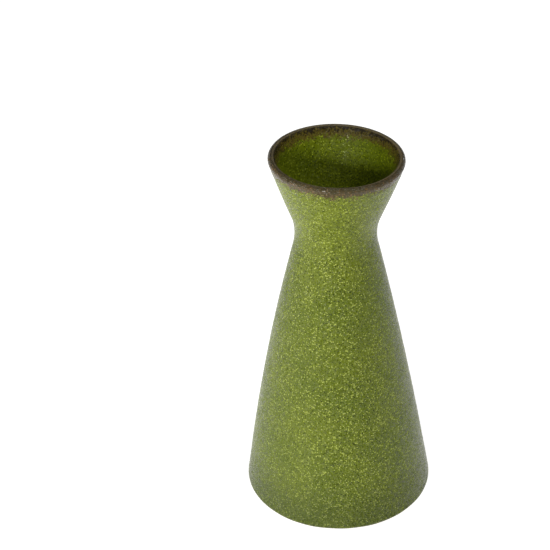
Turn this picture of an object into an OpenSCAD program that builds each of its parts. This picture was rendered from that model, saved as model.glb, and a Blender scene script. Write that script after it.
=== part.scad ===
// Sake bottle (tokkuri): a slip-cast stoneware body with a waisted neck and a
// flared mouth, coated in matte green glaze with an iron-brown lip.
// The origin is the centre of the foot on the table, and +Z is up.
// The clay and its coats of glaze are separate solids that meet face to face.

/* [Overall size] */
// Height from the table to the top of the lip
bottle_h = 150; // [120:1:185]
// Widest diameter of the body, just above the foot
body_d = 74; // [60:1:90]
// Diameter over the waist, the narrowest place
waist_d = 31.4; // [25:0.2:38]
// Diameter over the lip
mouth_d = 50.8; // [42:0.2:61]
// Height of the flared mouth, from the waist up to the top of the lip
flare_h = 33.2; // [27:0.2:40]

/* [Outline] */
// Radius of the long slight bulge of the body, seen from the side
body_arc_r = 1150; // [600:10:3000]
// Radius of the hollow curve of the waist, seen from the side
neck_arc_r = 25; // [18:0.5:36]
// Radius of the slight bulge of the flared mouth, seen from the side
mouth_arc_r = 600; // [100:10:3000]
// Radius of the turn from the wall into the foot
corner_r = 2.4; // [1.8:0.1:4]

/* [Walls] */
// Wall of the body, with the glaze on both faces
wall_t = 4.2; // [3:0.1:5.4]
// Thickness over the lip, with the glaze on both faces
lip_t = 2.8; // [2:0.1:3.8]
// Floor of the cavity, with its glaze, above the recess under the base
floor_t = 4.6; // [3.4:0.1:7]
// Radius of the turn from the cavity's wall into its floor
floor_fillet_r = 7; // [3:0.5:12]

/* [Foot] */
// Width of the flat ring that stands on the table
foot_ring_w = 3.4; // [2.4:0.1:6]
// Depth of the recess inside the foot ring
recess_h = 1.4; // [0.8:0.1:3]
// Radial run of the sloping side of the recess
recess_slope_w = 2.2; // [1:0.1:4]

/* [Glaze] */
// Thickness of the green glaze, outside and inside
glaze_t = 0.5; // [0.3:0.05:0.8]
// Thickness of the iron-brown glaze where it runs thin over the lip
lip_glaze_t = 0.3; // [0.2:0.05:0.5]
// Height above the table where the outer glaze was wiped off
glaze_line_z = 1; // [0.7:0.1:1.5]
// Depth of the brown band below the top of the lip, on the outside
band_outside_h = 5; // [3:0.5:8]
// Depth of the brown band below the top of the lip, on the inside
band_inside_h = 6; // [3:0.5:8]
// Thickness of the glaze in the recess under the base
base_glaze_t = 0.4; // [0.2:0.05:0.6]

/* [Hidden] */
$fn = 120;

CLAY = "#9c8468";
GREEN = "#6f7f3a";
BROWN = "#5d4a33";
DARK_GREEN = "#55641f";
PALE_GREEN = "#7d8a4a";

// Straight steps that each curve of the outline is drawn with.
body_steps = 18;
neck_steps = 22;
mouth_steps = 12;
lip_steps = 16;
corner_steps = 8;
fillet_steps = 8;

// Two stations up the wall are never closer in height than this.
least_rise = 0.05;

lip_r = lip_t / 2;
waist_z = bottle_h - flare_h;
floor_z = recess_h + floor_t;

ring_outer_r = body_d / 2 - corner_r;
ring_inner_r = ring_outer_r - foot_ring_w;
recess_r = ring_inner_r - recess_slope_w;
base_glaze_r = recess_r - base_glaze_t;

function between(from, to, part) = from + (to - from) * part;
function smooth(x) = let (t = min(1, max(0, x))) t * t * (3 - 2 * t);
function ray(a) = [cos(a), sin(a)];
function bearing(from, to) = atan2(to[1] - from[1], to[0] - from[0]);
function reversed(list) = [for (i = [len(list) - 1:-1:0]) list[i]];

// ---- Outline: five circles, each tangent to the next ----

// The centre of a circle that lies far_a from point a and far_b from point b,
// on the left of the way from a to b.
function centre_between(a, far_a, b, far_b) =
    let (
        gap = norm(b - a),
        dir = (b - a) / gap,
        along = (far_a * far_a - far_b * far_b + gap * gap) / (2 * gap),
        across = sqrt(far_a * far_a - along * along)
    )
    a + along * dir + across * [-dir[1], dir[0]];

corner_centre = [ring_outer_r, corner_r - glaze_t];
neck_centre = [waist_d / 2 + neck_arc_r, waist_z];
lip_centre = [mouth_d / 2 - lip_r, bottle_h - lip_r];
body_centre = centre_between(
    corner_centre, body_arc_r - corner_r, neck_centre, body_arc_r + neck_arc_r);
mouth_centre = centre_between(
    neck_centre, mouth_arc_r + neck_arc_r, lip_centre, mouth_arc_r - lip_r);

// Directions from the circles' centres to where each circle meets the next.
foot_a = bearing(body_centre, corner_centre);
shoulder_a = bearing(body_centre, neck_centre);
flare_a = bearing(mouth_centre, neck_centre);
rim_a = bearing(mouth_centre, lip_centre);
rim_z = lip_centre[1] + lip_r * sin(rim_a);

function even_angles(from, to, steps) = [for (i = [0:steps]) between(from, to, i / steps)];

// A station is [point on the outer surface, direction straight out of it].
// The neck's circle lies outside the wall, so its stations face its centre.
curve_stations = concat(
    [for (a = even_angles(foot_a, shoulder_a, body_steps))
        [body_centre + body_arc_r * ray(a), ray(a)]],
    [for (i = [1:neck_steps - 1]) let (a = between(shoulder_a, flare_a, i / neck_steps))
        [neck_centre - neck_arc_r * ray(a), ray(a)]],
    [for (a = even_angles(flare_a, rim_a, mouth_steps))
        [mouth_centre + mouth_arc_r * ray(a), ray(a)]]);

// The station where the drawn outline crosses a height.
function crossing(z) =
    let (out = [for (axis = [0, 1]) lookup(z, [for (s = curve_stations) [s[0][1], s[1][axis]]])])
    [[lookup(z, [for (s = curve_stations) [s[0][1], s[0][0]]]), z], out / norm(out)];

// A list of stations with one more put in at a height.
function with_crossing(list, z) = concat(
    [for (s = list) if (s[0][1] < z - least_rise) s],
    [crossing(z)],
    [for (s = list) if (s[0][1] > z + least_rise) s]);

wall_low = curve_stations[0][0][1];
band_out_z = bottle_h - band_outside_h;
band_in_z = bottle_h - band_inside_h;
wall_stations = with_crossing(with_crossing(curve_stations, band_out_z), band_in_z);

function stations(low, high) = [for (s = wall_stations)
    if (s[0][1] > low - least_rise && s[0][1] < high + least_rise) s];

// ---- Layers: each surface is the outer one moved in along its normal ----

// The wall keeps its thickness up to the waist and thins towards the lip.
function wall_at(z) = between(wall_t, lip_t, smooth((z - waist_z) / (rim_z - waist_z)));

// A coat of green glaze thins over the last band_h below the brown band.
function coat_at(z, band_h) =
    between(glaze_t, lip_glaze_t, smooth((z - bottle_h + 2 * band_h) / band_h));

function outer_face(low, high) = [for (s = stations(low, high)) s[0]];
function clay_outer_face(low, high) = [for (s = stations(low, high))
    s[0] - coat_at(s[0][1], band_outside_h) * s[1]];
function inner_face(low, high) = [for (s = stations(low, high))
    s[0] - wall_at(s[0][1]) * s[1]];
function clay_inner_face(low, high) = [for (s = stations(low, high))
    s[0] - (wall_at(s[0][1]) - coat_at(s[0][1], band_inside_h)) * s[1]];

// Points round the lip at radius r, from its outer side over to its inner side.
function over_lip(r) = [for (i = [1:lip_steps - 1])
    lip_centre + r * ray(rim_a + 180 * i / lip_steps)];

// Points round the foot's corner at radius r, from one direction to short of
// another.
function foot_corner(r, from, to) = [for (i = [0:corner_steps - 1])
    corner_centre + r * ray(between(from, to, i / corner_steps))];

// The cavity's side face, from a wall face given from low to high, down round
// a fillet of radius r that touches it, to the axis at height z.
function cavity(face, depth, z, r) =
    let (
        rise = z + r - body_centre[1],
        reach = body_arc_r - depth - r,
        c = [body_centre[0] + sqrt(reach * reach - rise * rise), z + r],
        top_a = bearing(body_centre, c),
        top_z = c[1] + r * sin(top_a)
    )
    concat(
        [for (p = reversed(face)) if (p[1] > top_z + least_rise) p],
        [for (a = even_angles(top_a, -90, fillet_steps)) c + r * ray(a)],
        [[0, z]]);

// The cavity's glazed face and the clay face behind it, up to a height.
function glazed_cavity(high) =
    cavity(inner_face(wall_low, high), wall_t, floor_z, floor_fillet_r);
function clay_cavity(high) = cavity(clay_inner_face(wall_low, high),
    wall_t - glaze_t, floor_z - glaze_t, floor_fillet_r + glaze_t);

// Direction from the corner's centre to the wiped edge of the outer glaze.
clay_corner_r = corner_r - glaze_t;
glaze_line_a = asin((glaze_line_z - corner_centre[1]) / clay_corner_r);

// ---- Pieces ----

// Stoneware shell with its floor, lip and unglazed foot ring.
module clay_body() {
    color(CLAY)
    rotate_extrude()
    polygon(concat(
        [[ring_inner_r, 0]],
        foot_corner(clay_corner_r, -90, glaze_line_a),
        foot_corner(clay_corner_r, glaze_line_a, foot_a),
        clay_outer_face(wall_low, rim_z),
        over_lip(lip_r - lip_glaze_t),
        clay_cavity(rim_z),
        [[0, recess_h], [recess_r, recess_h]]));
}

// Green glaze from the wiped edge above the foot up to the brown band.
module outer_glaze() {
    color(GREEN)
    rotate_extrude()
    polygon(concat(
        foot_corner(corner_r, glaze_line_a, foot_a),
        outer_face(wall_low, band_out_z),
        reversed(clay_outer_face(wall_low, band_out_z)),
        reversed(foot_corner(clay_corner_r, glaze_line_a, foot_a))));
}

// Iron-brown glaze that runs thin over the lip, outside and inside.
module lip_glaze() {
    color(BROWN)
    rotate_extrude()
    polygon(concat(
        outer_face(band_out_z, rim_z),
        over_lip(lip_r),
        reversed(inner_face(band_in_z, rim_z)),
        clay_inner_face(band_in_z, rim_z),
        reversed(over_lip(lip_r - lip_glaze_t)),
        reversed(clay_outer_face(band_out_z, rim_z))));
}

// Green glaze that lines the cavity, wall and floor.
module inner_glaze() {
    color(DARK_GREEN)
    rotate_extrude()
    polygon(concat(
        glazed_cavity(band_in_z),
        reversed(clay_cavity(band_in_z))));
}

// Patch of green glaze in the recess under the base.
module base_glaze() {
    color(PALE_GREEN)
    translate([0, 0, recess_h - base_glaze_t])
    cylinder(h = base_glaze_t, r1 = base_glaze_r, r2 = recess_r);
}

clay_body();
outer_glaze();
lip_glaze();
inner_glaze();
base_glaze();
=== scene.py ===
"""Sake bottle: a slip-cast stoneware pot under a grainy satin green glaze.

Each coat is turned as its own closed shell: the clay, the green glaze outside,
the iron-brown glaze over the lip, the liner, and the patch under the base.
"""
import math

import bmesh
import bpy
import numpy as np
from mathutils import Matrix, Vector, noise


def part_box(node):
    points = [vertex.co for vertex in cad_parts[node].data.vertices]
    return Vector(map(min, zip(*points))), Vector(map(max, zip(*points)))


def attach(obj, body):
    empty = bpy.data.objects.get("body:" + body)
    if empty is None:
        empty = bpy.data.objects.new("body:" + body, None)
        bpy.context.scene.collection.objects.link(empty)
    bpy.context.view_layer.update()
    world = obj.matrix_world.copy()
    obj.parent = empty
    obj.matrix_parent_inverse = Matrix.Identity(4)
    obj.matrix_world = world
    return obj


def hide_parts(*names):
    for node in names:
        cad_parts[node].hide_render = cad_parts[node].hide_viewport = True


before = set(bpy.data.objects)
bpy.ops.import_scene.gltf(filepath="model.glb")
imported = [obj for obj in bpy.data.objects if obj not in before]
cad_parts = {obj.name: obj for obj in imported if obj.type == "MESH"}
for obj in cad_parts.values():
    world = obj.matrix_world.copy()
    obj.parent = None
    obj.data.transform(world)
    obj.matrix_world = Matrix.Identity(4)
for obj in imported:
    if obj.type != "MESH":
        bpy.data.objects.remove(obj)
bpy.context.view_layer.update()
MM = 0.001


# ---- Sizes, in metres ----

_, CLAY_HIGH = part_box("clay_body")
_, OUTER_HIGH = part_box("outer_glaze")
_, LIP_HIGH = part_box("lip_glaze")
LINER_LOW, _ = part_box("inner_glaze")
PATCH_LOW, PATCH_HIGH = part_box("base_glaze")

TOP = LIP_HIGH.z
BODY_R = OUTER_HIGH.x
MOUTH_R = LIP_HIGH.x
GLAZE_T = BODY_R - CLAY_HIGH.x
LIP_GLAZE_T = TOP - CLAY_HIGH.z
LINER_FLOOR_Z = LINER_LOW.z + GLAZE_T
RECESS_Z = PATCH_HIGH.z
PATCH_T = PATCH_HIGH.z - PATCH_LOW.z
RECESS_R = PATCH_HIGH.x

WAIST_R = 15.7 * MM
WAIST_Z = TOP - 33.2 * MM
BODY_ARC_R = 1150 * MM
NECK_ARC_R = 25 * MM
MOUTH_ARC_R = 600 * MM
CORNER_R = 2.4 * MM
WALL_T = 4.2 * MM
LIP_R = 1.4 * MM
FLOOR_FILLET_R = 7 * MM
FOOT_RING_W = 3.4 * MM
GLAZE_LINE_Z = 1.0 * MM
BAND_OUTSIDE_Z = TOP - 5 * MM
BAND_INSIDE_Z = TOP - 6 * MM

# Spacing of the mesh: rows up the faces that show, rows behind the coats, steps
# over the lip, and columns round the axis.
ROW = 0.68 * MM
HIDDEN_ROW = 6 * ROW
LIP_STEPS = 26
COLUMNS = 360
TURNS = np.linspace(0, 2 * math.pi, COLUMNS, endpoint=False)


# ---- Outline: five circles, each tangent to the next, as [radius, height] ----

def ray(angle):
    return np.stack([np.cos(angle), np.sin(angle)], axis=-1)


def bearing(a, b):
    return math.atan2(b[1] - a[1], b[0] - a[0])


def centre_between(a, far_a, b, far_b):
    """The centre far_a from a and far_b from b, on the left of the way from a to b."""
    gap = np.linalg.norm(b - a)
    way = (b - a) / gap
    along = (far_a**2 - far_b**2 + gap**2) / (2 * gap)
    across = math.sqrt(far_a**2 - along**2)
    return a + along * way + across * np.array([-way[1], way[0]])


def arc(centre, radius, start, end, spacing=0.2 * MM):
    """Points along a circle and the directions straight out of it, [r, z, out r, out z]."""
    steps = max(4, math.ceil(radius * abs(end - start) / spacing))
    out = ray(np.linspace(start, end, steps + 1))
    return np.hstack([centre + radius * out, out])


RING_OUTER_R = BODY_R - CORNER_R
RING_INNER_R = RING_OUTER_R - FOOT_RING_W
CORNER_C = np.array([RING_OUTER_R, CORNER_R - GLAZE_T])
NECK_C = np.array([WAIST_R + NECK_ARC_R, WAIST_Z])
LIP_C = np.array([MOUTH_R - LIP_R, TOP - LIP_R])
BODY_C = centre_between(CORNER_C, BODY_ARC_R - CORNER_R, NECK_C, BODY_ARC_R + NECK_ARC_R)
MOUTH_C = centre_between(NECK_C, MOUTH_ARC_R + NECK_ARC_R, LIP_C, MOUTH_ARC_R - LIP_R)

# Directions from the circles' centres to where each circle meets the next.
FOOT_A = bearing(BODY_C, CORNER_C)
SHOULDER_A = bearing(BODY_C, NECK_C)
FLARE_A = bearing(MOUTH_C, NECK_C)
RIM_A = bearing(MOUTH_C, LIP_C)
RIM_Z = LIP_C[1] + LIP_R * math.sin(RIM_A)


def neck_stretch():
    """The neck's circle lies outside the wall, so its directions are turned about."""
    stretch = arc(NECK_C, NECK_ARC_R, math.pi + SHOULDER_A, math.pi + FLARE_A)
    stretch[:, 2:] *= -1
    return stretch[1:-1]


WALL = np.vstack([
    arc(BODY_C, BODY_ARC_R, FOOT_A, SHOULDER_A),
    neck_stretch(),
    arc(MOUTH_C, MOUTH_ARC_R, FLARE_A, RIM_A)])
WALL_LOW = WALL[0, 1]
WALL_STEPS = np.linalg.norm(np.diff(WALL[:, :2], axis=0), axis=1)
WALL_WAY = np.concatenate([[0], np.cumsum(WALL_STEPS)])


def wall_rows(low, high, spacing=ROW):
    """The wall between two heights in even steps, from low to high."""
    start, end = np.interp((low, high), WALL[:, 1], WALL_WAY)
    way = np.linspace(start, end, max(2, round((end - start) / spacing) + 1))
    return np.column_stack([np.interp(way, WALL_WAY, WALL[:, i]) for i in range(4)])


def smooth(x):
    x = np.clip(x, 0, 1)
    return x * x * (3 - 2 * x)


def wall_thickness(z):
    """The wall keeps its thickness up to the waist and thins towards the lip."""
    return WALL_T + (2 * LIP_R - WALL_T) * smooth((z - WAIST_Z) / (RIM_Z - WAIST_Z))


def coat_thickness(z, band_z):
    """Green glaze keeps its thickness and thins just below the brown band."""
    band = TOP - band_z
    return GLAZE_T + (LIP_GLAZE_T - GLAZE_T) * smooth((z - band_z + band) / band)


def moved_in(rows, depth):
    """The same rows, moved in along their directions by a depth."""
    moved = rows.copy()
    moved[:, :2] -= np.reshape(depth, (-1, 1)) * rows[:, 2:]
    return moved


def turned_about(rows):
    """The same rows from last to first, facing the other way."""
    back = rows[::-1].copy()
    back[:, 2:] *= -1
    return back


def lip_rows(radius):
    """Over the lip, from its outer side to its inner side."""
    out = ray(np.linspace(RIM_A, RIM_A + math.pi, LIP_STEPS + 1))
    return np.hstack([LIP_C + radius * out, out])


def cavity_rows(depth, floor_z, fillet_r, high, spacing, coated=False):
    """Down the inside of the wall, round the floor's fillet and in to the axis. The
    coated rows are the clay's own, behind the liner and the thin coat over the lip."""
    wall = wall_rows(WALL_LOW, high, spacing)
    depths = wall_thickness(wall[:, 1])
    if coated:
        depths = depths - coat_thickness(wall[:, 1], BAND_INSIDE_Z)
    side = turned_about(moved_in(wall, depths))
    reach = BODY_ARC_R - depth - fillet_r
    rise = floor_z + fillet_r - BODY_C[1]
    centre = np.array([BODY_C[0] + math.sqrt(reach**2 - rise**2), floor_z + fillet_r])
    fillet = arc(centre, fillet_r, bearing(BODY_C, centre), -math.pi / 2, spacing)
    fillet[:, 2:] *= -1
    above_fillet = side[:, 1] > fillet[0, 1] + 0.4 * spacing
    floor_r = np.linspace(fillet[-1, 0], 0, max(3, round(fillet[-1, 0] / spacing)))[1:]
    floor = np.column_stack([floor_r, np.full_like(floor_r, floor_z),
                             np.zeros_like(floor_r), np.ones_like(floor_r)])
    return np.vstack([side[above_fillet], fillet, floor])


# ---- Unevenness ----

# How far the body leans at half height, how far the lip drops for each metre
# across it, and how far the wall sags in at most.
LEAN = 0.71 * MM
LIP_SLOPE = 0.03
SAG = 0.1 * MM

# Shares of the height: sag and lean build up from the foot to the first, and the
# lip's slope builds up from the second to the top.
FOOT_SHARE = 0.12
SLOPE_SHARE = 0.72

# The glaze's pillowed skin, as the depth and the size of its hollows, and how
# close to the end of a coat it starts to fade.
PEEL = [(0.075 * MM, 5.5 * MM), (0.055 * MM, 2.3 * MM)]
CALM_REACH = 1.6 * MM
SEED_STEP = Vector((7.3, 3.1, 5.7))


def settled(points):
    """How the whole pot settled in the kiln, which every coat follows alike: the
    body leans a little at half height, the lip slopes, and the wall isn't quite round."""
    turn = np.arctan2(points[..., 1], points[..., 0])
    height = points[..., 2] / TOP
    off_foot = smooth(height / FOOT_SHARE)
    sag = 0.5 + 0.3 * np.sin(2 * turn + 2.4 * height + 0.7) + 0.2 * np.sin(3 * turn - 5 * height)
    pulled = SAG * sag * off_foot
    radius = np.maximum(np.hypot(points[..., 0], points[..., 1]), 1e-9)
    share = np.clip((radius - pulled) / radius, 0, 1)[..., None]
    moved = points * np.concatenate([share, share, np.ones_like(share)], axis=-1)
    moved[..., 0] -= LEAN * np.sin(math.pi * np.clip(height, 0, 1)) * off_foot
    sloping = smooth((height - SLOPE_SHARE) / (1 - SLOPE_SHARE))
    moved[..., 2] -= LIP_SLOPE * (points[..., 0] + MOUTH_R) * sloping
    return moved


def lumps(points, size, seed):
    """Smooth unevenness between 0 and 1 at each point, with hollows of a size."""
    offset = seed * SEED_STEP
    flat = (points.reshape(-1, 3) / size).tolist()
    values = [0.5 + 0.5 * noise.noise(Vector(p) + offset) for p in flat]
    return np.array(values).reshape(points.shape[:-1])


def orange_peel(points, out, calm):
    """The glaze's pillowed skin: each point sinks in by up to about a tenth of a
    millimetre, and calm scales how far."""
    deep = sum(depth * lumps(points, size, seed) for seed, (depth, size) in enumerate(PEEL, 1))
    return points - out * (deep * calm)[..., None]


def calm_near(rows, heights):
    """1 over most of a stretch, falling to 0 at the heights where coats meet."""
    calm = np.ones(len(rows))
    for height in heights:
        calm *= smooth(np.abs(rows[:, 1] - height) / CALM_REACH)
    return calm


def waves(parts):
    """Waves at every column round the axis, from (size, how many, start of each)."""
    return sum(size * np.sin(count * TURNS + start) for size, count, start in parts)


# ---- Turning: rows of a profile swept round the axis into a closed shell ----

MERGE_DISTANCE = 0.002 * MM
SHARP_ANGLE = math.radians(50)


def swept(rows):
    """Places and directions of every row at every column, from rows that are
    the same all round (n, 4) or that differ by column (n, columns, 4)."""
    rows = rows if rows.ndim == 3 else np.repeat(rows[:, None], COLUMNS, axis=1)
    cos, sin = np.cos(TURNS), np.sin(TURNS)
    points = np.stack([rows[..., 0] * cos, rows[..., 0] * sin, rows[..., 1]], axis=-1)
    out = np.stack([rows[..., 2] * cos, rows[..., 2] * sin, rows[..., 3]], axis=-1)
    return points, out


def mesh_lists(grid, closed):
    """Vertices and faces of a swept grid. The two ends close on each other, or
    each closes with a fan on the axis."""
    rows = len(grid)
    number = np.arange(rows * COLUMNS).reshape(rows, COLUMNS)
    here, there = (number, np.roll(number, -1, axis=0)) if closed else (number[:-1], number[1:])
    quads = np.stack([here, np.roll(here, -1, axis=1), np.roll(there, -1, axis=1), there], axis=-1)
    faces = quads.reshape(-1, 4).tolist()
    points = grid.reshape(-1, 3).tolist()
    if not closed:
        for row in (0, -1):
            middle = len(points)
            points.append([0, 0, float(grid[row, :, 2].mean())])
            ring = number[row].tolist()
            faces += [[a, b, middle] for a, b in zip(ring, ring[1:] + ring[:1])]
    return points, [], faces


def shell(name, stretches, closed):
    """A closed mesh from stretches of (rows, calm), where calm scales the orange
    peel by row. A profile that isn't closed on itself starts and ends on the axis."""
    grids = []
    for rows, calm in stretches:
        points, out = swept(rows)
        calm = np.broadcast_to(np.reshape(calm, (-1, 1)), points.shape[:2])
        peeled = orange_peel(points, out, calm) if calm.any() else points
        grids.append(settled(peeled))
    mesh = bpy.data.meshes.new(name)
    mesh.from_pydata(*mesh_lists(np.vstack(grids), closed))
    bm = bmesh.new()
    bm.from_mesh(mesh)
    bmesh.ops.remove_doubles(bm, verts=bm.verts, dist=MERGE_DISTANCE)
    bmesh.ops.recalc_face_normals(bm, faces=bm.faces)
    bm.to_mesh(mesh)
    bm.free()
    mesh.shade_smooth()
    mesh.set_sharp_from_angle(angle=SHARP_ANGLE)
    piece = bpy.data.objects.new(name, mesh)
    bpy.context.scene.collection.objects.link(piece)
    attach(piece, "root")
    return piece


# ---- Pieces ----

CLAY_CORNER_R = CORNER_R - GLAZE_T

# The wiped edge of the outer glaze round the foot's corner: its mean direction,
# its waves, and the angle over which the glaze swells to its full thickness.
EDGE_A = math.asin((GLAZE_LINE_Z - CORNER_C[1]) / CLAY_CORNER_R)
EDGE_ANGLES = EDGE_A + waves([(0.05, 3, 1), (0.04, 7, 0), (0.025, 19, 2)])
EDGE_SWELL = 0.42


def corner_coat():
    """The glaze round the foot's corner, which swells from nothing at its wiped
    edge to its full thickness, as rows that differ by column and crowd the edge."""
    parts = 1 - np.cos(np.linspace(0, math.pi / 2, 15))
    angles = EDGE_ANGLES + parts[:-1, None] * (FOOT_A - EDGE_ANGLES)
    swell = np.clip((angles - EDGE_ANGLES) / EDGE_SWELL, 0, 1)
    radius = CLAY_CORNER_R + GLAZE_T * np.sqrt(1 - (1 - swell)**2)
    out = ray(angles)
    return np.concatenate([CORNER_C + radius[..., None] * out, out], axis=-1)


def corner_back():
    """The clay face behind the corner's glaze, from the wall down to the edge."""
    parts = np.linspace(0, 1, 7)
    angles = FOOT_A + parts[1:-1, None] * (EDGE_ANGLES - FOOT_A)
    out = ray(angles)
    return np.concatenate([CORNER_C + CLAY_CORNER_R * out, -out], axis=-1)


def clay_behind(rows):
    """The clay's outer face behind rows of the outline."""
    return moved_in(rows, coat_thickness(rows[:, 1], BAND_OUTSIDE_Z))


def make_outer_glaze():
    front = wall_rows(WALL_LOW, BAND_OUTSIDE_Z)
    back = turned_about(clay_behind(wall_rows(WALL_LOW, BAND_OUTSIDE_Z, HIDDEN_ROW)))
    stretches = [
        (corner_coat(), 0),
        (front, calm_near(front, [BAND_OUTSIDE_Z, WALL_LOW])),
        (back, 0),
        (corner_back(), 0)]
    piece = shell("green_glaze", stretches, True)
    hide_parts("outer_glaze")
    return piece


def make_lip_glaze():
    outside = wall_rows(BAND_OUTSIDE_Z, RIM_Z)
    inside = wall_rows(BAND_INSIDE_Z, RIM_Z)
    inner = turned_about(moved_in(inside, wall_thickness(inside[:, 1])))
    clay_depth = wall_thickness(inside[:, 1]) - coat_thickness(inside[:, 1], BAND_INSIDE_Z)
    stretches = [
        (outside[:-1], calm_near(outside[:-1], [BAND_OUTSIDE_Z])),
        (lip_rows(LIP_R), 0.6),
        (inner[1:], calm_near(inner[1:], [inner[-1, 1]])),
        (moved_in(inside, clay_depth)[:-1], 0),
        (turned_about(lip_rows(LIP_R - LIP_GLAZE_T)), 0),
        (turned_about(clay_behind(outside))[1:], 0)]
    piece = shell("iron_lip_glaze", stretches, True)
    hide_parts("lip_glaze")
    return piece


def clay_cavity_rows(high):
    return cavity_rows(WALL_T - GLAZE_T, LINER_FLOOR_Z - GLAZE_T, FLOOR_FILLET_R + GLAZE_T,
                       high, HIDDEN_ROW, coated=True)


def make_inner_glaze():
    front = cavity_rows(WALL_T, LINER_FLOOR_Z, FLOOR_FILLET_R, BAND_INSIDE_Z, 1.2 * ROW)[::-1]
    stretches = [(front, calm_near(front, [front[-1, 1]])), (clay_cavity_rows(BAND_INSIDE_Z), 0)]
    piece = shell("green_liner_glaze", stretches, False)
    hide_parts("inner_glaze")
    return piece


def make_clay_body():
    """The shell with its foot: the recess and the ring's inner edge are softened."""
    foot = [(RECESS_R - 0.6 * MM, RECESS_Z), (RECESS_R, RECESS_Z - 0.08 * MM),
            (RING_INNER_R - 0.5 * MM, 0.3 * MM), (RING_INNER_R, 0.07 * MM),
            (RING_INNER_R + 0.5 * MM, 0)]
    corner = arc(CORNER_C, CLAY_CORNER_R, -math.pi / 2, FOOT_A, 0.25 * MM)
    outside = clay_behind(wall_rows(WALL_LOW, RIM_Z, HIDDEN_ROW))
    stretches = [
        (np.array([[r, z, 0, -1] for r, z in foot]), 0),
        (corner[:-1], 0),
        (outside[:-1], 0),
        (lip_rows(LIP_R - LIP_GLAZE_T), 0),
        (clay_cavity_rows(RIM_Z)[1:-1], 0)]
    piece = shell("stoneware_body", stretches, False)
    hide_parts("clay_body")
    return piece


def make_base_glaze():
    """A thin pool with a wavy edge, which rounds off over the last part of its radius."""
    edge_share = 0.04
    pool_r = RECESS_R - 0.5 * MM + waves([(0.22 * MM, 5, 0), (0.15 * MM, 11, 1)])
    flat = [(share, 1.0) for share in np.linspace(0.02, 1 - edge_share, 60)]
    edge = [(1 - edge_share * part, math.sqrt(1 - (1 - part)**2)) for part in np.linspace(1, 0, 9)]
    front = np.zeros((len(flat + edge), COLUMNS, 4))
    for row, (share, rise) in zip(front, flat + edge):
        row[:, 0] = share * pool_r
        row[:, 1] = RECESS_Z - PATCH_T * rise
        row[:, 3] = -1
    back = np.array([[share * (RECESS_R - MM), RECESS_Z, 0, 1] for share in (0.9, 0.5, 0.02)])
    piece = shell("base_glaze_patch", [(front, 0.5), (back, 0)], False)
    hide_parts("base_glaze")
    return piece


# ---- Nodes ----

def put(tree, kind, inputs=None, **settings):
    """A node with settings, and inputs given as values or as sockets to link."""
    made = tree.nodes.new(kind)
    for key, value in settings.items():
        setattr(made, key, value)
    for key, value in (inputs or {}).items():
        if isinstance(value, bpy.types.NodeSocket):
            tree.links.new(value, made.inputs[key])
        else:
            made.inputs[key].default_value = value
    return made


def calculate(tree, operation, a, b=0.0, clamp=False):
    made = put(tree, "ShaderNodeMath", {0: a, 1: b}, operation=operation, use_clamp=clamp)
    return made.outputs[0]


def times(tree, a, b):
    return calculate(tree, "MULTIPLY", a, b)


def minus(tree, a, b):
    return calculate(tree, "SUBTRACT", a, b)


def plus(tree, first, *others):
    for other in others:
        first = calculate(tree, "ADD", first, other)
    return first


def from_vectors(tree, operation, output, a, b=(0, 0, 0)):
    return put(tree, "ShaderNodeVectorMath", {0: a, 1: b}, operation=operation).outputs[output]


def ranged(tree, value, low, high, to_low=0.0, to_high=1.0):
    """Eases from to_low at low to to_high at high."""
    inputs = {"Value": value, "From Min": low, "From Max": high,
              "To Min": to_low, "To Max": to_high}
    made = put(tree, "ShaderNodeMapRange", inputs, interpolation_type="SMOOTHSTEP")
    return made.outputs["Result"]


def fading(tree, value, low, high):
    """Eases from 1 at low to 0 at high."""
    return ranged(tree, value, low, high, 1.0, 0.0)


def noise_field(tree, place, scale, detail, roughness=0.5):
    inputs = {"Vector": place, "Scale": scale, "Detail": detail, "Roughness": roughness}
    return put(tree, "ShaderNodeTexNoise", inputs).outputs["Fac"]


def blended(tree, share, a, b):
    return put(tree, "ShaderNodeMix", {0: share, 6: a, 7: b}, data_type="RGBA").outputs[2]


def laid_over(tree, colour, coats):
    """A colour with others laid over it in turn, each as (mask, strength, colour)."""
    for mask, strength, over in coats:
        colour = blended(tree, times(tree, mask, strength), colour, over)
    return colour


# ---- Node groups ----

def new_group(name, numbers, outputs):
    """A group that takes a place and some numbers, and gives masks or heights."""
    tree = bpy.data.node_groups.new(name, "ShaderNodeTree")
    tree.interface.new_socket("Place", in_out="INPUT", socket_type="NodeSocketVector")
    for label, value in numbers.items():
        socket = tree.interface.new_socket(label, in_out="INPUT", socket_type="NodeSocketFloat")
        socket.default_value = value
    for label in outputs:
        tree.interface.new_socket(label, in_out="OUTPUT", socket_type="NodeSocketFloat")
    given = tree.nodes.new("NodeGroupInput").outputs
    gives = tree.nodes.new("NodeGroupOutput").inputs
    return tree, given, gives


def use_group(tree, group, inputs):
    return put(tree, "ShaderNodeGroup", inputs, node_tree=group).outputs


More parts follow.
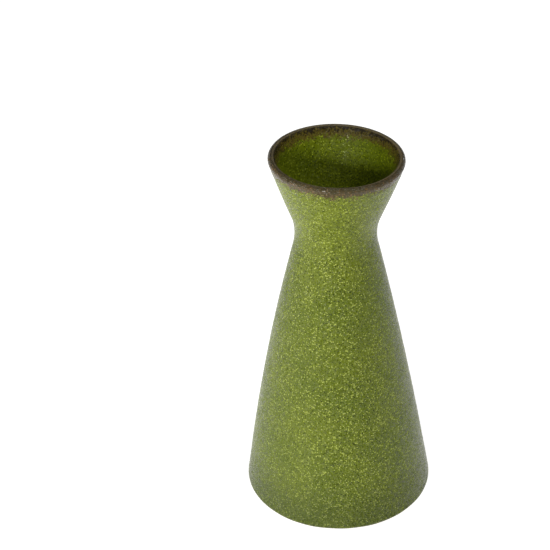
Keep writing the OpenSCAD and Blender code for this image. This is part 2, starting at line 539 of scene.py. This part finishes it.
def grain_group():
    """Fine grains in a glaze or clay: some pale, some pitted, each tilted its own way.
    A grain's core stops short of its neighbours, so that no grain has a hard edge."""
    tree, given, gives = new_group(
        "glaze grain", {"Grains per Metre": 2000.0, "Pale Share": 0.3, "Pit Share": 0.15},
        ("Pale", "Pit", "Height"))
    place, density = given["Place"], given["Grains per Metre"]
    cells = put(tree, "ShaderNodeTexVoronoi", {"Vector": place, "Scale": density}).outputs
    draws = put(tree, "ShaderNodeSeparateColor", {"Color": cells["Color"]}).outputs
    core = fading(tree, cells["Distance"], 0.28, 0.56)
    pale_from = minus(tree, 1.0, given["Pale Share"])
    pale = times(tree, core, calculate(tree, "GREATER_THAN", draws["Red"], pale_from))
    pit = times(tree, core, calculate(tree, "LESS_THAN", draws["Green"], given["Pit Share"]))
    dome = times(tree, core, plus(tree, draws["Blue"], 0.15))
    dust = noise_field(tree, place, times(tree, density, 1.7), 2.0, 0.6)
    across = from_vectors(tree, "SUBTRACT", "Vector", place, cells["Position"])
    tilt = from_vectors(tree, "SUBTRACT", "Vector", cells["Color"], (0.5, 0.5, 0.5))
    facet = from_vectors(tree, "DOT_PRODUCT", "Value", across, tilt)
    facet = times(tree, facet, times(tree, density, 2.0))
    raised = plus(tree, times(tree, dome, 0.35), times(tree, dust, 0.5), facet)
    tree.links.new(pale, gives["Pale"])
    tree.links.new(pit, gives["Pit"])
    tree.links.new(minus(tree, raised, times(tree, pit, 0.5)), gives["Height"])
    return tree


def drift_group():
    """Slow drift of tone over a surface, between 0 and 1."""
    tree, given, gives = new_group("slow drift", {"Size": 0.02, "Contrast": 1.0}, ("Drift",))
    scale = calculate(tree, "DIVIDE", 1.0, given["Size"])
    field = noise_field(tree, given["Place"], scale, 3.0, 0.55)
    centred = times(tree, minus(tree, field, 0.5), given["Contrast"])
    tree.links.new(calculate(tree, "ADD", centred, 0.5, clamp=True), gives["Drift"])
    return tree


def iron_break_group():
    """Where a glaze thins towards the lip and the iron under it shows: brown and
    ragged at its lower edge, darkened near the lip as painted shade, most on its
    inner side, and a painted highlight along a thin line at the lip's inner edge,
    the crest. Dark Share is a share of the brown's reach."""
    drips_per_metre, spots_per_metre = 240.0, 1300.0
    dark_ease = 0.2
    crest_in = 1.85 * MM
    tree, given, gives = new_group(
        "iron break",
        {"Lip Height": 0.15, "Lip Slope": 0.0, "Lip Radius": 0.02, "Reach": 0.005,
         "Dark Share": 0.4},
        ("Brown", "Dark", "Crest Highlight"))
    place = given["Place"]
    axes = put(tree, "ShaderNodeSeparateXYZ", {"Vector": place}).outputs
    drop = times(tree, given["Lip Slope"], plus(tree, axes["X"], given["Lip Radius"]))
    depth = minus(tree, minus(tree, given["Lip Height"], drop), axes["Z"])
    below = calculate(tree, "DIVIDE", depth, given["Reach"])
    drips = noise_field(tree, place, drips_per_metre, 2.0)
    spots = noise_field(tree, place, spots_per_metre, 1.0)
    ragged = plus(tree, times(tree, drips, 0.9), times(tree, spots, 1.3))
    uneven = plus(tree, below, minus(tree, ragged, 1.1))
    dark_from = minus(tree, given["Dark Share"], dark_ease)
    dark_to = plus(tree, given["Dark Share"], dark_ease)
    flat = put(tree, "ShaderNodeCombineXYZ", {"X": axes["X"], "Y": axes["Y"]}).outputs["Vector"]
    radius = from_vectors(tree, "LENGTH", "Value", flat)
    crest_r = minus(tree, given["Lip Radius"], crest_in)
    off_crest = calculate(tree, "ABSOLUTE", minus(tree, radius, crest_r))
    line = fading(tree, off_crest, 0.15 * MM, 0.55 * MM)
    high = fading(tree, depth, 0.6 * MM, 0.9 * MM)
    tree.links.new(fading(tree, uneven, 0.55, 1.0), gives["Brown"])
    # Painted shade: the Dark mask darkens the glaze near the lip.
    tree.links.new(fading(tree, uneven, dark_from, dark_to), gives["Dark"])
    # Painted highlight: a pale line along the lip's inner edge.
    tree.links.new(times(tree, line, high), gives["Crest Highlight"])
    return tree


# ---- Materials ----

# The green glaze outside, and inside, where its grains stand out less. Thinning
# makes the green paler towards the lip, or deeper where it is below 0.
OUTSIDE = {
    "deep": (0.066, 0.096, 0.002, 1),
    "full": (0.108, 0.138, 0.004, 1),
    "pale": (0.40, 0.45, 0.06, 1),
    "pit": (0.012, 0.020, 0.001, 1),
    "brown": (0.046, 0.026, 0.003, 1),
    "ash": (0.085, 0.064, 0.030, 1),
    "rust": (0.18, 0.085, 0.010, 1),
    # the pits' colour in the brown, and painted shade near the lip
    "dark": (0.056, 0.046, 0.019, 1),
    # painted highlight along the lip's inner edge
    "crest_highlight": (0.30, 0.25, 0.13, 1),
    "thinning": 1.0,
    "glassy_grains": 0.5,
    "roughness": 0.24,
    "shine": 0.19,
    "bump": 0.27 * MM,
    "reach": 5.0 * MM,
    "dark_share": 0.1}
INSIDE = {
    "deep": (0.092, 0.124, 0.001, 1),
    "full": (0.122, 0.148, 0.002, 1),
    "pale": (0.34, 0.40, 0.02, 1),
    "pit": (0.020, 0.030, 0.001, 1),
    "brown": (0.082, 0.062, 0.007, 1),
    "ash": (0.105, 0.085, 0.012, 1),
    "rust": (0.13, 0.08, 0.010, 1),
    # the pits' colour in the brown, and painted shade on the lip's inner side
    "dark": (0.018, 0.013, 0.004, 1),
    # painted highlight along the lip's inner edge
    "crest_highlight": (0.15, 0.12, 0.062, 1),
    "thinning": -0.3,
    "glassy_grains": 0.06,
    "roughness": 0.40,
    "shine": 0.15,
    "bump": 0.18 * MM,
    "reach": 4.8 * MM,
    "dark_share": 0.25}

# Heights between which the green glaze thins towards the lip, and over which the
# painted shade above the foot fades out.
THINNING_Z = (0.62 * TOP, 0.96 * TOP)
FOOT_SHADE_Z = (4 * MM, 26 * MM)

GLAZE_GRAIN = {"Grains per Metre": 1900.0, "Pale Share": 0.34, "Pit Share": 0.34}
CLAY_GRAIN = {"Grains per Metre": 2600.0, "Pale Share": 0.25, "Pit Share": 0.12}


def new_material(name):
    material = bpy.data.materials.new(name)
    material.use_nodes = True
    tree = material.node_tree
    tree.nodes.clear()
    shader = put(tree, "ShaderNodeBsdfPrincipled")
    put(tree, "ShaderNodeOutputMaterial", {"Surface": shader.outputs["BSDF"]})
    place = put(tree, "ShaderNodeTexCoord").outputs["Object"]
    return material, tree, shader.inputs, place


def set_bump(tree, shader, height, distance):
    bump = put(tree, "ShaderNodeBump", {"Height": height, "Distance": distance, "Strength": 1.0})
    tree.links.new(bump.outputs["Normal"], shader["Normal"])


def green_glaze(name, groups, look):
    """Satin green glaze with grains, slow drift, and iron showing near the lip."""
    material, tree, shader, place = new_material(name)
    grain = use_group(tree, groups["grain"], {"Place": place, **GLAZE_GRAIN})
    drift = use_group(tree, groups["drift"], {"Place": place, "Size": 0.022, "Contrast": 1.9})
    cloud = use_group(tree, groups["drift"], {"Place": place, "Size": 0.0045, "Contrast": 1.4})
    iron = use_group(tree, groups["iron"], {
        "Place": place, "Lip Height": TOP, "Lip Slope": LIP_SLOPE, "Lip Radius": MOUTH_R,
        "Reach": look["reach"], "Dark Share": look["dark_share"]})
    height = put(tree, "ShaderNodeSeparateXYZ", {"Vector": place}).outputs["Z"]
    thin = times(tree, ranged(tree, height, *THINNING_Z), look["thinning"])
    # Painted shade: the green is darkened towards the bottom, where less light falls near the
    # foot.
    foot_shade = fading(tree, height, *FOOT_SHADE_Z)

    tone = calculate(tree, "ADD", drift["Drift"], times(tree, thin, 0.35), clamp=True)
    green = blended(tree, tone, look["deep"], look["full"])
    paler = plus(tree, times(tree, cloud["Drift"], 0.10), times(tree, thin, 0.05))
    green = laid_over(tree, green, [
        (paler, 1.0, look["pale"]),
        (grain["Pale"], 0.72, look["pale"]),
        (grain["Pit"], 0.85, look["pit"]),
        # painted shade towards the foot, in the pits' colour
        (foot_shade, 0.38, look["pit"])])
    brown = laid_over(tree, blended(tree, drift["Drift"], look["brown"], look["ash"]), [
        (grain["Pale"], 0.7, look["rust"]),
        (grain["Pit"], 0.8, look["dark"]),
        # painted shade near the lip
        (iron["Dark"], 1.0, look["dark"])])
    colour = laid_over(tree, green, [
        (iron["Brown"], 1.0, brown),
        # painted highlight along the lip's inner edge
        (iron["Crest Highlight"], 0.8, look["crest_highlight"])])
    tree.links.new(colour, shader["Base Color"])

    matt = plus(tree, times(tree, grain["Height"], 0.10), look["roughness"])
    glossier = times(tree, iron["Brown"], -0.08)
    tree.links.new(plus(tree, matt, glossier), shader["Roughness"])
    tree.links.new(times(tree, grain["Pale"], look["glassy_grains"]), shader["Coat Weight"])
    shader["IOR"].default_value = 1.5
    shader["Specular IOR Level"].default_value = look["shine"]
    shader["Coat Roughness"].default_value = 0.18
    set_bump(tree, shader, grain["Height"], look["bump"])
    return material


def bare_clay(groups):
    """Unglazed buff-brown clay with pale and dark grains."""
    material, tree, shader, place = new_material("bare stoneware")
    grain = use_group(tree, groups["grain"], {"Place": place, **CLAY_GRAIN})
    drift = use_group(tree, groups["drift"], {"Place": place, "Size": 0.01, "Contrast": 1.8})
    colour = blended(tree, drift["Drift"], (0.20, 0.13, 0.08, 1), (0.33, 0.24, 0.16, 1))
    colour = laid_over(tree, colour, [
        (grain["Pale"], 0.5, (0.5, 0.4, 0.3, 1)),
        (grain["Pit"], 0.8, (0.05, 0.035, 0.025, 1))])
    tree.links.new(colour, shader["Base Color"])
    tree.links.new(plus(tree, times(tree, grain["Height"], 0.1), 0.72), shader["Roughness"])
    set_bump(tree, shader, grain["Height"], 0.05 * MM)
    return material


def paper_white():
    """A floor that stays white to its far edge, as it shines a little itself."""
    material, _, shader, _ = new_material("white sweep")
    shader["Base Color"].default_value = (0.50, 0.50, 0.49, 1)
    shader["Roughness"].default_value = 0.9
    shader["Emission Color"].default_value = (1, 1, 0.99, 1)
    shader["Emission Strength"].default_value = 0.84
    return material


# ---- The bottle ----

def face_inside(piece, slot):
    """Gives the faces that look in towards the axis another of the piece's materials."""
    for face in piece.data.polygons:
        inward = face.normal.x * face.center.x + face.normal.y * face.center.y < 0
        face.material_index = slot if inward else 0


def make_bottle():
    groups = {"grain": grain_group(), "drift": drift_group(), "iron": iron_break_group()}
    outside = green_glaze("green glaze outside", groups, OUTSIDE)
    inside = green_glaze("green glaze inside", groups, INSIDE)
    make_outer_glaze().data.materials.append(outside)
    lip = make_lip_glaze()
    lip.data.materials.append(outside)
    lip.data.materials.append(inside)
    face_inside(lip, 1)
    make_inner_glaze().data.materials.append(inside)
    make_base_glaze().data.materials.append(outside)
    make_clay_body().data.materials.append(bare_clay(groups))


# ---- Studio ----

MIDDLE = Vector((0, 0, TOP / 2))
FLOOR_SIDE = 4

# Each softbox's place, the length of its sides, and its power in watts.
SOFTBOXES = {
    "low left": ((-0.90, -0.42, 0.16), 0.20, 6.4),
    "low front": ((-0.29, -0.89, 0.42), 0.14, 6.1),
    "high right": ((0.36, -0.06, 0.90), 0.50, 3.3)}

# The world's brightness as the bottle is lit by it, and as the camera sees it.
WORLD_LIGHT = 0.15
WORLD_SEEN = 1.0

# The camera's distance from the middle of the bottle, in heights of the bottle, and
# its lens and sensor in millimetres.
CAMERA_AWAY = 4.515
LENS = 113.8
SENSOR = 36


def make_floor():
    bpy.ops.mesh.primitive_plane_add(size=FLOOR_SIDE)
    floor = bpy.context.object
    floor.name = "floor"
    floor.data.materials.append(paper_white())


def make_softbox(name, place, side, power):
    light = bpy.data.lights.new(name, "AREA")
    light.shape = "SQUARE"
    light.size = side
    light.energy = power
    made = bpy.data.objects.new(name, light)
    made.location = place
    made.rotation_euler = (MIDDLE - Vector(place)).to_track_quat("-Z", "Y").to_euler()
    made.visible_camera = False
    bpy.context.scene.collection.objects.link(made)


def make_world():
    world = bpy.data.worlds.new("studio")
    world.use_nodes = True
    tree = world.node_tree
    tree.nodes.clear()
    white = (1, 1, 1, 1)
    dim = put(tree, "ShaderNodeBackground", {"Color": white, "Strength": WORLD_LIGHT})
    seen = put(tree, "ShaderNodeBackground", {"Color": white, "Strength": WORLD_SEEN})
    choice = put(tree, "ShaderNodeMixShader", {
        0: put(tree, "ShaderNodeLightPath").outputs["Is Camera Ray"],
        1: dim.outputs["Background"],
        2: seen.outputs["Background"]})
    put(tree, "ShaderNodeOutputWorld", {"Surface": choice.outputs["Shader"]})
    bpy.context.scene.world = world


def light_studio():
    make_world()
    for name, (place, side, power) in SOFTBOXES.items():
        make_softbox(name, place, side, power)
    bpy.context.scene.view_settings.view_transform = "Standard"


def place_camera():
    """A long lens from above the front, panned a little left and tilted."""
    lift, pitch, pan, roll = (math.radians(a) for a in (34.797, 33.216, 2.453, -1.655))
    away = CAMERA_AWAY * TOP * Vector((0, -math.cos(lift), math.sin(lift)))
    ahead = Vector((-math.sin(pan) * math.cos(pitch), math.cos(pan) * math.cos(pitch),
                    -math.sin(pitch)))
    level = Vector((math.cos(pan), math.sin(pan), 0))
    upright = level.cross(ahead)
    right = math.cos(roll) * level + math.sin(roll) * upright
    up = -math.sin(roll) * level + math.cos(roll) * upright
    camera = bpy.data.objects.new("camera", bpy.data.cameras.new("camera"))
    camera.data.sensor_width = SENSOR
    camera.data.lens = LENS
    turn = Matrix((right, up, -ahead)).transposed().to_4x4()
    camera.matrix_world = Matrix.Translation(MIDDLE + away) @ turn
    bpy.context.scene.collection.objects.link(camera)
    bpy.context.scene.camera = camera


make_bottle()
make_floor()
light_studio()
place_camera()
